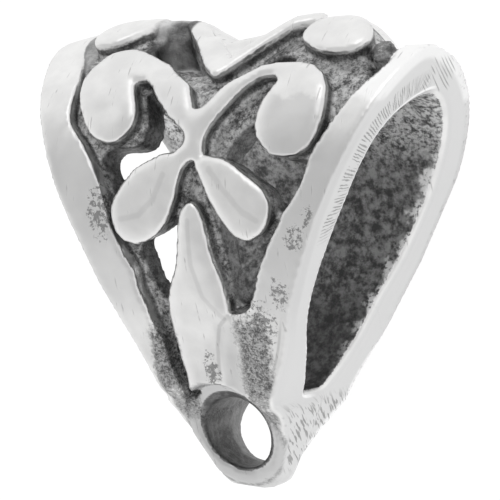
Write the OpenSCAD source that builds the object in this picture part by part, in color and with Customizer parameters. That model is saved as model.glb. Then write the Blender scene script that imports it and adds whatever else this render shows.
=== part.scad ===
// Pendant bail, cast in one piece: a loop band with flat tapering sides,
// a pierced scroll front that runs over the ridge, a plain back wall,
// and a drilled eye in the block under the loop.
//
// It is drawn standing: X to the right, Y to the back, Z up from the tip.
// The last step lays it on the flat of its back, with the scrolls up.
// Scrolls and holes are placed by x and by s, the way along the band's
// middle outline: s is 0 on the ridge and negative down the front.

/* [Band] */
// Half width of the side faces at the bottom tip
tip_half_w = 0.53; // [0.50:0.01:0.60]
// Growth of that half width for each millimetre of height
taper = 0.455; // [0.44:0.005:0.47]
// Half width of the pierced field at the bottom tip, below zero because it starts higher up
field_tip_w = -1.57; // [-1.65:0.01:-1.50]
// Growth of the field's half width for each millimetre of height
field_taper = 0.537; // [0.52:0.001:0.55]
// Depth of the pierced ground below the rims and scrolls
ground_drop = 0.55; // [0.45:0.05:0.65]

/* [Eye] */
// Diameter of the drilled eye
eye_d = 2.35; // [2.1:0.05:2.4]
// Height of the eye's axis above the tip
eye_z = 1.85; // [1.80:0.01:1.90]
// Outer diameter of the raised ring round the eye's front mouth
ring_d = 3.2; // [3.1:0.05:3.4]
// How far the ring stands proud of the block's front
ring_proud = 0.2; // [0.1:0.05:0.3]

/* [Scrolls] */
// Height of the scrolls' domed middles above the band's outline
crown = 0.12; // [0.08:0.01:0.20]
// How far the scrolls reach down below the band's outline, into the ground
bury = 0.90; // [0.80:0.05:0.95]

/* [Hidden] */

// Steps between two rows of a side outline, of a hole and of a bar
smooth_steps = 3;
hole_steps = 2;
bar_steps = 2;
round_fn = 48;
// Half of the standing height, to bring the origin to the middle of the underside
half_height = 7.6;
// Where the ring ends behind, inside the block
ring_back_y = -0.70;
// Distances that lie safely outside the bail
far = 20;
above_all = 18;
front_of_all = -8;
// Places inside the loop opening, from where the holes run outwards
front_holes_from_y = -1;
ridge_holes_from_z = 11.5;
// A height above the ring and below the scrolls
block_top = 5;

// Side outlines as rows of [y, z], from the front of the block over the ridge
// and down to the back of the block.
RIM_SIDE = [
    [-2.50, 3.30], [-2.95, 4.80], [-3.55, 6.40], [-4.05, 8.10], [-4.25, 9.60],
    [-4.05, 11.10], [-3.40, 12.45], [-2.45, 13.40], [-1.45, 13.86], [-0.15, 13.66],
    [0.95, 13.34], [2.10, 12.75], [3.00, 12.05], [3.65, 11.30], [4.05, 10.65]
];
MIDDLE_SIDE = [
    [-2.50, 3.30], [-2.95, 4.80], [-3.55, 6.40], [-4.05, 8.10], [-4.25, 9.60],
    [-4.15, 10.80], [-3.80, 12.05], [-3.15, 13.25], [-2.25, 14.20], [-1.15, 14.85],
    [0.00, 15.10], [1.10, 14.70], [2.10, 13.90], [3.00, 12.85], [3.65, 11.75], [4.05, 10.65]
];
// The flat of the back, on which the bail lies, and the back's lower end
BACK_FLAT = [[4.25, 10.00], [4.25, 7.10]];
BACK_LOWER = [[4.05, 6.20], [3.60, 5.15], [3.10, 4.10], [2.80, 3.00]];
// The block: back chamfer, tip, and the leaning front that meets the rims
BLOCK_SIDE = [
    [2.70, 2.60], [1.75, 1.50], [1.35, 0.70], [0.75, 0.00], [-0.60, 0.00],
    [-0.88, 0.90], [-1.22, 1.80], [-1.62, 2.40], [-2.10, 2.85]
];
// The row of BLOCK_SIDE where the plane of the leaning front starts
front_row = 5;

// Loop opening at the sides, and where the wall follows the ridge up
WINDOW_SIDE = [
    [-0.60, 3.20], [-1.40, 4.40], [-2.20, 5.75], [-2.62, 7.30], [-2.72, 9.20],
    [-2.60, 10.95], [-1.95, 11.90], [-0.80, 12.52], [0.20, 12.62], [1.25, 11.95],
    [2.05, 10.80], [2.48, 9.30], [2.45, 7.40], [2.10, 5.85], [1.50, 4.15], [0.85, 3.20]
];
WINDOW_MIDDLE = [
    [-0.60, 3.20], [-1.40, 4.40], [-2.20, 5.75], [-2.62, 7.30], [-2.72, 9.20],
    [-2.62, 11.20], [-2.05, 12.40], [-1.00, 13.15], [0.10, 13.30], [1.10, 12.70],
    [1.95, 11.40], [2.45, 9.60], [2.45, 7.40], [2.10, 5.85], [1.50, 4.15], [0.85, 3.20]
];

// The heart's cleft: height of the ridge's highest ground across the band
HEART_TOP = [
    [-7.20, 12.80], [-6.00, 13.20], [-5.20, 14.00], [-4.30, 14.60], [-3.20, 14.75], [-2.00, 14.45],
    [-0.90, 13.95], [0.00, 13.75], [0.90, 14.00], [2.00, 14.40], [3.20, 14.65], [4.30, 14.55],
    [5.20, 14.00], [6.00, 13.20], [7.20, 12.80]
];
// How much lower the scrolls lie in the cleft than on the humps
cleft_depth = 0.70;
cleft_half_w = 2.6;
// How far from the ridge the cleft fades out
cleft_reach = 3.6;

// Where the pierced field ends, on the back of the ridge
field_back_y = 2.20;
// Height from which the ground rises above the rims' own ground, and where its side walls start
raised_from = 9.8;
raised_foot = 9;
// Points within the wall that close the raised ground's outline from below, as [y, z]
RAISED_INSIDE = [[2.6, 12.6], [0, 12.9], [-3.2, raised_from]];
// How far neighbouring forms reach into each other
overlap = 0.05;

// Half width from which a bar has its whole crown
full_crown_w = 0.3;

// Scrolls as rows of [x, s, half width], each a bar that swells and narrows
STEM = [[0.25, -4.75, 0.22], [0.30, -5.30, 0.42], [0.30, -5.90, 0.34], [0.32, -6.45, 0.40], [0.33, -6.90, 0.12]];
ARM_LEFT = [
    [0.25, -5.75, 0.25], [0.00, -5.15, 0.40], [-0.80, -4.40, 0.48], [-1.70, -3.68, 0.52],
    [-2.50, -3.40, 0.58], [-3.20, -3.45, 0.40]
];
LOBE_LEFT = [
    [-3.00, -2.62, 0.15], [-3.20, -2.90, 0.75], [-3.38, -3.40, 1.05], [-3.44, -4.00, 1.13],
    [-3.38, -4.55, 1.12], [-3.18, -5.05, 1.08], [-3.05, -5.50, 0.92], [-3.00, -5.88, 0.58], [-3.00, -6.12, 0.12]
];
ARM_RIGHT = [
    [0.35, -5.80, 0.25], [0.52, -5.20, 0.38], [0.95, -4.60, 0.37], [1.42, -4.12, 0.39],
    [2.00, -3.80, 0.40], [2.70, -3.75, 0.42], [3.30, -3.95, 0.30]
];
LOBE_RIGHT = [
    [3.10, -3.32, 0.15], [3.32, -3.62, 0.62], [3.52, -4.05, 0.80], [3.58, -4.45, 0.88],
    [3.50, -4.92, 1.05], [3.44, -5.40, 1.11], [3.44, -5.80, 1.01], [3.45, -6.15, 0.78], [3.40, -6.48, 0.12]
];
PETAL_LEFT = [
    [0.10, -6.45, 0.15], [-0.45, -6.80, 0.42], [-0.95, -7.25, 0.76], [-1.40, -7.80, 0.98],
    [-1.70, -8.30, 0.98], [-1.92, -8.78, 0.70], [-2.05, -9.15, 0.15]
];
PETAL_RIGHT = [
    [0.50, -6.40, 0.15], [0.95, -6.95, 0.46], [1.35, -7.40, 0.76], [1.80, -7.85, 0.92],
    [2.15, -8.20, 0.93], [2.46, -8.52, 0.70], [2.72, -8.82, 0.15]
];
SPADE = [
    [0.22, -7.86, 0.15], [0.20, -8.25, 0.42], [0.20, -9.10, 0.56], [0.14, -10.00, 0.78], [0.06, -10.90, 1.05],
    [0.00, -11.60, 1.12], [-0.05, -12.40, 0.98], [-0.12, -13.40, 0.72], [-0.20, -14.60, 0.45]
];
STRIP = [[1.05, -11.30, 0.15], [0.95, -11.90, 0.27], [0.78, -12.90, 0.27], [0.62, -14.60, 0.27]];
VEE_LEFT = [
    [0.38, -3.72, 0.12], [0.05, -3.00, 0.45], [-0.60, -2.10, 0.45], [-1.30, -1.20, 0.42],
    [-2.00, -0.55, 0.40], [-2.75, -0.25, 0.38], [-3.50, -0.40, 0.36], [-4.05, -0.80, 0.20]
];
VEE_RIGHT = [
    [0.40, -3.60, 0.12], [0.55, -2.95, 0.30], [1.05, -2.30, 0.34], [1.70, -1.55, 0.36],
    [2.50, -0.95, 0.38], [3.30, -0.90, 0.38], [3.90, -1.20, 0.25]
];
RIDGE_LOBE_LEFT = [
    [-4.60, -2.62, 0.15], [-4.50, -2.30, 0.70], [-4.35, -1.80, 0.98], [-4.20, -1.20, 1.05],
    [-4.10, -0.70, 0.85], [-4.00, -0.30, 0.15]
];
RIDGE_LOBE_RIGHT = [
    [4.40, -3.00, 0.20], [4.30, -2.70, 0.75], [4.15, -2.20, 1.05], [4.05, -1.60, 1.10],
    [3.95, -1.05, 0.80], [3.90, -0.70, 0.15]
];
BARS = [
    STEM, ARM_LEFT, LOBE_LEFT, ARM_RIGHT, LOBE_RIGHT, PETAL_LEFT, PETAL_RIGHT,
    SPADE, STRIP, VEE_LEFT, VEE_RIGHT, RIDGE_LOBE_LEFT, RIDGE_LOBE_RIGHT
];

// Section of a bar as rows of [share of the half width, share of the crown, depth below it]
BAR_SECTION = [
    [-1.00, 0, bury], [-1.00, 0, 0.24], [-0.80, 0, 0.08], [-0.35, 1, 0],
    [0.35, 1, 0], [0.80, 0, 0.08], [1.00, 0, 0.24], [1.00, 0, bury]
];

// Holes through the front, as rows of [x, s]
HOLE_LEFT_UPPER = [
    [-2.70, -7.50], [-3.00, -7.00], [-3.05, -6.55], [-2.75, -6.25], [-2.10, -6.15], [-1.75, -5.90],
    [-1.65, -5.45], [-1.10, -5.10], [-0.65, -5.20], [-0.25, -5.50], [-0.05, -5.85], [-0.25, -6.30],
    [-0.90, -6.48], [-1.45, -6.75]
];
HOLE_LEFT_LOWER = [
    [-0.42, -8.50], [-1.00, -8.85], [-1.55, -9.20], [-1.80, -9.80],
    [-1.60, -10.50], [-1.20, -11.10], [-0.85, -10.60], [-0.50, -9.60]
];
HOLE_RIGHT_UPPER = [
    [1.40, -6.50], [1.75, -6.10], [2.10, -5.80], [2.40, -5.90], [2.80, -6.25], [3.30, -6.50],
    [3.85, -6.55], [4.05, -7.00], [3.75, -7.60], [3.38, -7.98], [3.00, -7.60], [2.50, -7.15], [1.80, -6.68]
];
HOLE_RIGHT_LOWER = [
    [1.30, -8.60], [2.00, -9.05], [2.62, -9.05], [2.40, -9.80],
    [2.05, -10.50], [1.70, -10.95], [1.45, -10.60], [1.20, -9.60]
];
FRONT_HOLES = [HOLE_LEFT_UPPER, HOLE_LEFT_LOWER, HOLE_RIGHT_UPPER, HOLE_RIGHT_LOWER];

// Holes through the ridge, as rows of [x, s]
RIDGE_HOLE_LEFT = [
    [-0.70, -3.00], [-1.60, -2.85], [-2.50, -2.50], [-3.05, -1.80], [-3.00, -1.10], [-2.40, -0.95], [-1.60, -1.65]
];
RIDGE_HOLE_RIGHT = [
    [1.10, -2.95], [2.00, -3.20], [2.80, -3.10], [2.75, -2.60], [2.60, -2.00], [2.10, -1.70], [1.55, -2.20]
];
RIDGE_HOLES = [RIDGE_HOLE_LEFT, RIDGE_HOLE_RIGHT];

// A smooth line through the rows of a table, by Catmull and Rom's rule
function bend(a, b, c, d, t) =
    0.5 * (2 * b + (c - a) * t + (2 * a - 5 * b + 4 * c - d) * t * t + (3 * b - a - 3 * c + d) * t * t * t);
function smooth_line(rows, steps = smooth_steps) =
    let (last = len(rows) - 1)
    concat(
        [for (i = [0:last - 1], k = [0:steps - 1])
            bend(rows[max(i - 1, 0)], rows[i], rows[i + 1], rows[min(i + 2, last)], k / steps)],
        [rows[last]]
    );
function smooth_ring(rows, steps = smooth_steps) =
    let (n = len(rows))
    [for (i = [0:n - 1], k = [0:steps - 1])
        bend(rows[(i + n - 1) % n], rows[i], rows[(i + 1) % n], rows[(i + 2) % n], k / steps)];

// The middle outline as a smooth line, with the way along it at each point
MIDDLE = smooth_line(MIDDLE_SIDE);
function way(line, i = 0, sum = 0) =
    i == len(line) - 1 ? [sum] : concat([sum], way(line, i + 1, sum + norm(line[i + 1] - line[i])));
MIDDLE_WAY = way(MIDDLE);
// The row of MIDDLE_SIDE on the ridge, where s is 0
ridge_row = 10;
ridge_way = MIDDLE_WAY[smooth_steps * ridge_row];

function middle_span(s, i = 0) =
    i >= len(MIDDLE) - 2 || MIDDLE_WAY[i + 1] >= s + ridge_way ? i : middle_span(s, i + 1);
function square_to(line, i) =
    let (t = (line[min(i + 1, len(line) - 1)] - line[max(i - 1, 0)])) [-t[1], t[0]] / norm(t);
function cleft(x, s) =
    cleft_depth * max(0, 1 - pow(x / cleft_half_w, 2)) * max(0, 1 - pow(s / cleft_reach, 2));
// The point at x and s, raised by h above the middle outline
function on_band(x, s, h) =
    let (
        i = middle_span(s),
        f = (s + ridge_way - MIDDLE_WAY[i]) / (MIDDLE_WAY[i + 1] - MIDDLE_WAY[i]),
        out = (1 - f) * square_to(MIDDLE, i) + f * square_to(MIDDLE, i + 1),
        p = MIDDLE[i] + f * (MIDDLE[i + 1] - MIDDLE[i]) + (h - cleft(x, s)) * out / norm(out)
    )
    [x, p[0], p[1]];

// An outline's points moved inwards to the pierced ground, as far back as the field goes
function sunk(line) =
    [for (i = [0:len(line) - 2])
        if (line[i][0] < field_back_y)
            line[i] - ground_drop * square_to(line, i)];
GROUND_LINE = sunk(smooth_line(RIM_SIDE));
RAISED_LINE = [for (p = sunk(MIDDLE)) if (p[1] > raised_from) p];
RIM_OUTLINE = concat(smooth_line(RIM_SIDE), BACK_FLAT, BACK_LOWER, BLOCK_SIDE);

// A side outline drawn through the whole width
module through_width(outline) {
    rotate([90, 0, 90]) linear_extrude(2 * far, center = true) polygon(outline);
}

// A wedge that widens with the height, cut from front to back
module wedge(half_w, growth, z_low, z_high) {
    rotate([90, 0, 0])
        linear_extrude(2 * far, center = true)
            polygon([
                [-half_w - growth * z_low, z_low], [half_w + growth * z_low, z_low],
                [half_w + growth * z_high, z_high], [-half_w - growth * z_high, z_high]
            ]);
}

// The whole band between its flat sides, with the pierced field sunk into the front
module band() {
    difference() {
        intersection() {
            through_width(RIM_OUTLINE);
            wedge(tip_half_w, taper, -1, above_all);
        }
        intersection() {
            wedge(field_tip_w, field_taper, -field_tip_w / field_taper, above_all);
            through_width(concat(
                GROUND_LINE,
                [[field_back_y, above_all], [front_of_all, above_all], [front_of_all, GROUND_LINE[0][1]]]
            ));
        }
    }
}

// The heart-shaped ridge that rises above the rims between them
module ridge() {
    intersection() {
        through_width(concat(RAISED_LINE, RAISED_INSIDE));
        wedge(field_tip_w + overlap, field_taper, raised_foot, above_all);
        rotate([90, 0, 0])
            linear_extrude(2 * far, center = true)
                polygon(concat(
                    smooth_line(HEART_TOP),
                    [for (end = [len(HEART_TOP) - 1, 0]) [HEART_TOP[end][0], raised_foot]]
                ));
    }
}

// Loop opening, with more height under the ridge, and the holes of the front and ridge
module openings() {
    through_width(smooth_line(WINDOW_SIDE));
    intersection() {
        through_width(smooth_line(WINDOW_MIDDLE));
        wedge(field_tip_w - overlap, field_taper, raised_foot, above_all);
    }
    for (hole = FRONT_HOLES)
        translate([0, front_holes_from_y, 0])
            rotate([90, 0, 0])
                linear_extrude(far)
                    polygon([for (r = smooth_ring(hole, hole_steps)) let (p = on_band(r[0], r[1], 0)) [p[0], p[2]]]);
    for (hole = RIDGE_HOLES)
        translate([0, 0, ridge_holes_from_z])
            linear_extrude(far)
                polygon([for (r = smooth_ring(hole, hole_steps)) let (p = on_band(r[0], r[1], 0)) [p[0], p[1]]]);
}

// One bar of the scrolls, swept along its rows on the band
module bar(rows) {
    line = smooth_line(rows, bar_steps);
    n = len(line);
    k = len(BAR_SECTION);
    points = [for (i = [0:n - 1])
        let (
            d = line[min(i + 1, n - 1)] - line[max(i - 1, 0)],
            u = [d[0], d[1]] / norm([d[0], d[1]]),
            side = [-u[1], u[0]] * line[i][2]
        )
        for (q = BAR_SECTION)
            on_band(
                line[i][0] + side[0] * q[0],
                line[i][1] + side[1] * q[0],
                crown * q[1] * min(1, line[i][2] / full_crown_w) - q[2]
            )];
    polyhedron(
        points,
        concat(
            [for (i = [0:n - 2], j = [0:k - 1])
                let (a = i * k + j, b = i * k + (j + 1) % k)
                each [[a, b, b + k], [a, b + k, a + k]]],
            [for (j = [1:k - 2]) [0, j + 1, j]],
            [for (j = [1:k - 2]) [(n - 1) * k, (n - 1) * k + j, (n - 1) * k + j + 1]]
        )
    );
}

// The leaning front of the block, moved forward by a distance, as a cutter or a filler
module before_face(forward) {
    low = BLOCK_SIDE[front_row];
    high = BLOCK_SIDE[front_row + 1];
    lean = (low[0] - high[0]) / (high[1] - low[1]);
    face_y = high[0] + lean * (high[1] - eye_z) - forward;
    through_width([
        [face_y + lean * eye_z, 0], [-far, 0],
        [-far, block_top], [face_y - lean * (block_top - eye_z), block_top]
    ]);
}
module eye_cylinder(d) {
    translate([0, 0, eye_z]) rotate([90, 0, 0]) cylinder(d = d, h = 2 * far, center = true, $fn = round_fn);
}

// The raised ring round the eye's front mouth
module eye_ring() {
    difference() {
        intersection() {
            eye_cylinder(ring_d);
            translate([-far, ring_back_y - far, 0]) cube([2 * far, far, block_top]);
        }
        before_face(ring_proud);
    }
}

// The whole bail, standing on its tip
module standing_bail() {
    difference() {
        union() {
            difference() {
                union() {
                    difference() {
                        union() {
                            band();
                            ridge();
                        }
                        openings();
                    }
                    for (rows = BARS) bar(rows);
                }
                intersection() {
                    eye_cylinder(ring_d + overlap);
                    before_face(ring_proud);
                }
            }
            eye_ring();
        }
        eye_cylinder(eye_d);
    }
}

module bail() {
    color("silver")
        translate([0, -half_height, BACK_FLAT[0][0]])
            rotate([-90, 0, 0])
                standing_bail();
}

bail();
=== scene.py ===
# %% [markdown]
# A pendant bail in oxidised silver.
# The real one is a single casting: a wax model is cut, invested and cast, the eye is drilled,
# the whole is blackened, and then the high parts are polished bright again.
# This lesson builds it the way a sculptor thinks of it, as metal added and metal cut away.
# Every form is a distance: below zero inside the metal, above zero outside.
# Geometry Nodes works the distance out on a fine grid and turns its zero into a surface.

import math

import bpy
import numpy as np
from mathutils import Matrix, Vector


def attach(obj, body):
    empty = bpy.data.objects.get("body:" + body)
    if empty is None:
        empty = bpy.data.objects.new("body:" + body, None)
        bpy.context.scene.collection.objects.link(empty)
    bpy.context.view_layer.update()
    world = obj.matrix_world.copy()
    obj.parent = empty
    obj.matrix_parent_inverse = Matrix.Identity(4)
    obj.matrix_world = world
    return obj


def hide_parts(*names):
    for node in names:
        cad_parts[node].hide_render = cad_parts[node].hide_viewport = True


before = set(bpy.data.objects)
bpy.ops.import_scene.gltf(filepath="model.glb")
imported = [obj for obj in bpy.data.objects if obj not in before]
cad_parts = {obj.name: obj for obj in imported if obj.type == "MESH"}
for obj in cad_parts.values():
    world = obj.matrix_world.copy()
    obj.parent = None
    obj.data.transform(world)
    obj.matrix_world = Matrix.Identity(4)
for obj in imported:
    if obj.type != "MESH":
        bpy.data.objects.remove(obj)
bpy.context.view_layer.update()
MM = 0.001

# %% [markdown]
# The bail is drawn standing on its tip, in millimetres: X to the right, Y to the back, Z up.
# The finished part lies on the flat of its back, so one small function turns the one into the other.
# The side of a bail is easiest to draw as a few rows of [y, z], as a goldsmith's template.

# %% Sizes and side outlines of the standing bail
HALF_HEIGHT = 7.6
BACK_Y = 4.25

RIM_SIDE = [
    [-2.5, 3.3], [-2.95, 4.8], [-3.55, 6.4], [-4.05, 8.1], [-4.25, 9.6], [-4.06, 11.1],
    [-3.45, 12.52], [-2.5, 13.54], [-1.45, 14.04], [-0.15, 13.88], [0.95, 13.56], [2.14, 12.92],
    [3.04, 12.14], [3.66, 11.34], [4.05, 10.65],
]
MIDDLE_SIDE = RIM_SIDE[:5] + [
    [-4.15, 10.8], [-3.8, 12.05], [-3.15, 13.25], [-2.25, 14.2], [-1.15, 14.85], [0.0, 15.1],
    [1.1, 14.7], [2.1, 13.9], [3.0, 12.85], [3.65, 11.75], [4.05, 10.65],
]
BACK_SIDE = [
    [4.25, 10.0], [4.25, 7.1], [4.05, 6.2], [3.6, 5.15], [3.1, 4.1], [2.8, 3.0],
]
BLOCK_SIDE = [
    [2.74, 2.45], [1.78, 1.6], [1.1, 0.72], [0.52, 0.0], [-0.6, 0.0], [-0.88, 0.9], [-1.22, 1.8],
    [-1.62, 2.4], [-2.1, 2.85],
]
LOOP_SIDE = [
    [-0.62, 3.42], [-0.76, 3.76], [-1.27, 4.55], [-2.02, 5.78], [-2.54, 7.3], [-2.72, 9.2],
    [-2.6, 10.95], [-1.95, 11.88], [-0.8, 12.48], [0.25, 12.58], [1.4, 12.0], [2.25, 10.9],
    [2.7, 9.3], [2.62, 7.4], [2.04, 5.85], [1.34, 4.3], [0.84, 3.54], [0.6, 3.34], [0.28, 3.32],
    [-0.4, 3.34],
]
RIDGE_ROW = 10
print("rows of the side outlines:", len(RIM_SIDE), len(MIDDLE_SIDE), len(BACK_SIDE),
      len(BLOCK_SIDE), len(LOOP_SIDE))


def to_part(point):
    """A place on the standing bail, in mm, as a place in the part's frame, in metres."""
    x, y, z = point
    return Vector((x, z - HALF_HEIGHT, BACK_Y - y)) * MM


# %% [markdown]
# A template is cut smoothly through its marks. The same is done here in three steps:
# a soft line is bent through the rows, points are set on it at even steps,
# and each point gets the direction that leads out of the metal.

# %% Smooth outlines with their outward directions
def bent(rows, closed=False, steps=12):
    """A smooth line that passes through every row."""
    p = np.array(rows, float)
    n = len(p)
    spans = n if closed else n - 1

    def row(i):
        return p[i % n] if closed else p[min(max(i, 0), n - 1)]

    out = []
    for i in range(spans):
        a, b, c, d = row(i - 1), row(i), row(i + 1), row(i + 2)
        for t in np.arange(steps) / steps:
            bend = 2 * a - 5 * b + 4 * c - d
            twist = 3 * b - a - 3 * c + d
            out.append(0.5 * (2 * b + (c - a) * t + bend * t * t + twist * t ** 3))
    return np.array(out if closed else out + [p[-1]])


def evenly(points, step, closed=False):
    """The same line with its points at even steps, and the way along it at each."""
    p = np.vstack([points, points[:1]]) if closed else np.array(points)
    way = np.concatenate([[0], np.cumsum(np.linalg.norm(np.diff(p, axis=0), axis=1))])
    count = max(int(round(way[-1] / step)), 8)
    marks = np.linspace(0, way[-1], count + 1)
    even = np.stack([np.interp(marks, way, p[:, k]) for k in (0, 1)], 1)
    return (even[:-1], marks[:-1]) if closed else (even, marks)


def softened(points, closed, rounds):
    """Corners rounded off a little, as a file and the polishing wheel leave them."""
    p = points.copy()
    for _ in range(rounds):
        before, after = np.roll(p, 1, 0), np.roll(p, -1, 0)
        mean = 0.25 * before + 0.5 * p + 0.25 * after
        if not closed:
            mean[0], mean[-1] = p[0], p[-1]
        p = mean
    return p


def outward(points, closed):
    """Unit directions square to the line, to the left of its run."""
    if closed:
        along = np.roll(points, -1, 0) - np.roll(points, 1, 0)
    else:
        along = np.gradient(points, axis=0)
    square = np.stack([-along[:, 1], along[:, 0]], 1)
    return square / np.linalg.norm(square, axis=1)[:, None]


def turned_right(points):
    """The closed line in the turning sense that makes its left side the outer one."""
    x, y = points[:, 0], points[:, 1]
    area = 0.5 * np.sum(x * np.roll(y, -1) - np.roll(x, -1) * y)
    return points[::-1] if area > 0 else points


# %% [markdown]
# The scrolls are traced as flat leaves on the unrolled front: x across the band and s along it,
# with s at zero on the ridge and falling towards the eye.
# A stem forks into two arms with round lobes. Below it are two petals, of which the left one
# belongs to the fork's outline, then a spade, and a narrow strip down its right side.

# %% The unrolled scrolls
FORK = [
    [0.05, -5.0], [-0.35, -4.18], [-1.05, -3.62], [-1.65, -3.1], [-2.35, -2.82], [-3.1, -2.64],
    [-3.7, -2.7], [-4.05, -2.88], [-4.4, -3.5], [-4.55, -3.96], [-4.5, -4.46], [-4.32, -4.94],
    [-4.05, -5.4], [-3.75, -5.8], [-3.4, -6.02], [-3.0, -6.12], [-2.65, -6.06], [-2.35, -5.84],
    [-2.12, -5.54], [-2.06, -5.22], [-2.14, -4.86], [-2.36, -4.4], [-2.5, -4.04], [-2.12, -3.94],
    [-1.74, -4.22], [-1.36, -4.7], [-0.82, -5.24], [-0.36, -5.56], [-0.06, -5.86], [-0.14, -6.12],
    [-0.42, -6.34], [-0.9, -6.42], [-1.4, -6.64], [-1.9, -6.94], [-2.28, -7.36], [-2.6, -7.76],
    [-2.76, -8.14], [-2.76, -8.56], [-2.62, -8.92], [-2.34, -9.18], [-1.9, -9.28], [-1.45, -9.16],
    [-1.05, -8.92], [-0.72, -8.58], [-0.5, -8.2], [-0.32, -7.74], [-0.2, -7.22], [-0.06, -6.84],
    [0.14, -6.62], [0.42, -6.62], [0.62, -6.58], [0.64, -6.3], [0.6, -5.94], [0.75, -5.54],
    [1.1, -5.0], [1.4, -4.56], [1.72, -4.16], [2.15, -3.84], [2.55, -3.82], [2.78, -4.04],
    [2.6, -4.38], [2.42, -4.72], [2.34, -5.12], [2.32, -5.52], [2.45, -5.86], [2.7, -6.14],
    [3.02, -6.38], [3.45, -6.46], [3.95, -6.36], [4.28, -6.12], [4.48, -5.74], [4.58, -5.24],
    [4.56, -4.8], [4.48, -4.24], [4.2, -3.74], [3.76, -3.42], [3.2, -3.34], [2.55, -3.34],
    [2.0, -3.44], [1.55, -3.72], [1.15, -4.02], [0.8, -4.34], [0.55, -4.68], [0.32, -4.92],
]
PETAL_RIGHT = [
    [0.36, -6.74], [0.55, -6.46], [0.98, -6.44], [1.4, -6.52], [1.75, -6.68], [2.2, -6.98],
    [2.6, -7.24], [2.88, -7.5], [3.04, -7.82], [3.02, -8.14], [2.9, -8.48], [2.66, -8.78],
    [2.28, -8.98], [1.95, -8.94], [1.6, -8.72], [1.3, -8.34], [1.0, -7.88], [0.74, -7.4],
    [0.54, -7.02],
]
SPADE = [
    [0.22, -7.84], [0.05, -7.96], [-0.16, -8.2], [-0.28, -8.68], [-0.36, -9.12], [-0.5, -9.76],
    [-0.66, -10.12], [-0.9, -10.54], [-1.06, -10.98], [-1.15, -11.5], [-1.16, -11.92],
    [-1.16, -12.34], [-1.12, -12.96], [-1.0, -13.6], [-0.88, -14.6], [0.15, -14.6], [0.28, -13.6],
    [0.52, -12.6], [0.8, -11.85], [1.06, -11.42], [1.1, -11.0], [1.06, -10.5], [1.0, -10.12],
    [0.88, -9.76], [0.8, -9.34], [0.74, -8.9], [0.66, -8.46], [0.52, -8.08], [0.38, -7.9],
]
STRIP = [
    [1.1, -11.46], [0.74, -11.9], [0.5, -12.6], [0.28, -13.6], [0.2, -14.6], [0.9, -14.6],
    [0.98, -13.5], [1.14, -12.6], [1.28, -11.9], [1.26, -11.55],
]
print("rows of the scrolls:", len(FORK), len(PETAL_RIGHT), len(SPADE), len(STRIP))

# %% [markdown]
# The ridge has two oval lobes, a small knob at its right end, and two curled bars,
# which are drawn by their middle line and half width, like rolled threads of wax.

# %% Leaves of the ridge
RIDGE_OVAL_RIGHT = [
    [2.72, -1.6], [2.84, -2.2], [3.36, -2.66], [4.05, -2.9], [4.72, -2.86], [5.1, -2.58],
    [5.16, -2.15], [4.92, -1.55], [4.5, -1.05], [3.95, -0.75], [3.3, -0.8], [2.85, -1.1],
]
RIDGE_OVAL_LEFT = [
    [-4.75, -2.42], [-4.2, -2.36], [-3.78, -1.98], [-3.46, -1.52], [-3.18, -1.0], [-3.1, -0.45],
    [-3.45, -0.05], [-4.1, -0.15], [-4.7, -0.55], [-5.05, -1.1], [-5.18, -1.75], [-5.08, -2.2],
]
KNOB = [[5.32, -2.26], [5.70, -2.10], [5.98, -2.45], [5.90, -2.95], [5.55, -3.05], [5.34, -2.70]]
# Rows of [x, s, half width]
CURL_LEFT = [
    [0.38, -3.72, 0.12], [0.05, -3.0, 0.45], [-0.6, -2.1, 0.45], [-1.3, -1.2, 0.42],
    [-1.85, -0.6, 0.4], [-2.05, -0.1, 0.34],
]
CURL_RIGHT = [
    [0.48, -3.5, 0.12], [0.68, -2.82, 0.25], [1.12, -2.0, 0.34], [1.7, -1.3, 0.4],
    [2.3, -0.88, 0.42], [2.9, -0.72, 0.32],
]


def bar_outline(rows):
    """The closed edge of a bar that is given by its middle line and half widths."""
    p = np.array(rows)
    middle = np.column_stack([bent(p[:, :2], steps=6), bent(p[:, [2, 2]], steps=6)[:, 0]])
    side = outward(middle[:, :2], False) * middle[:, 2:]
    return np.vstack([middle[:, :2] + side, (middle[:, :2] - side)[::-1]])


print("rows of the ridge's leaves:", len(RIDGE_OVAL_RIGHT), len(RIDGE_OVAL_LEFT), len(KNOB),
      len(CURL_LEFT), len(CURL_RIGHT))

# %% [markdown]
# The field is what is sunk between the rims. Four holes are cut through it where
# the scrolls leave room, and two more open the ridge on either side of the bars.

# %% Field and holes
FIELD = [
    [-4.9, 4.2], [-5.25, 3.0], [-5.6, 1.2], [-5.85, -0.5], [-5.72, -2.0], [-5.35, -2.72],
    [-5.1, -3.3], [-4.9, -4.04], [-4.75, -5.1], [-4.52, -5.56], [-4.05, -6.04], [-3.7, -6.48],
    [-3.35, -7.04], [-3.15, -7.5], [-3.02, -8.0], [-2.84, -8.78], [-2.62, -9.32], [-2.46, -9.72],
    [-2.2, -10.2], [-2.18, -10.78], [-2.0, -11.44], [-1.92, -12.0], [-1.66, -12.6], [-1.62, -13.26],
    [-1.36, -14.1], [-1.2, -15.0], [-0.6, -15.0], [-0.4, -13.9], [-0.05, -12.9], [0.5, -12.05],
    [1.02, -11.5], [1.76, -11.24], [2.0, -10.88], [2.2, -10.5], [2.4, -9.98], [2.65, -9.5],
    [2.9, -9.02], [3.2, -8.62], [3.45, -8.14], [3.8, -7.68], [4.1, -7.24], [4.25, -6.72],
    [4.36, -6.32], [4.6, -5.84], [4.8, -5.46], [5.0, -5.04], [5.2, -4.68], [5.55, -4.04],
    [5.82, -3.6], [6.0, -3.0], [6.0, -2.0], [5.85, -0.5], [5.6, 1.2], [5.25, 3.0], [4.9, 4.2],
]
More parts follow.
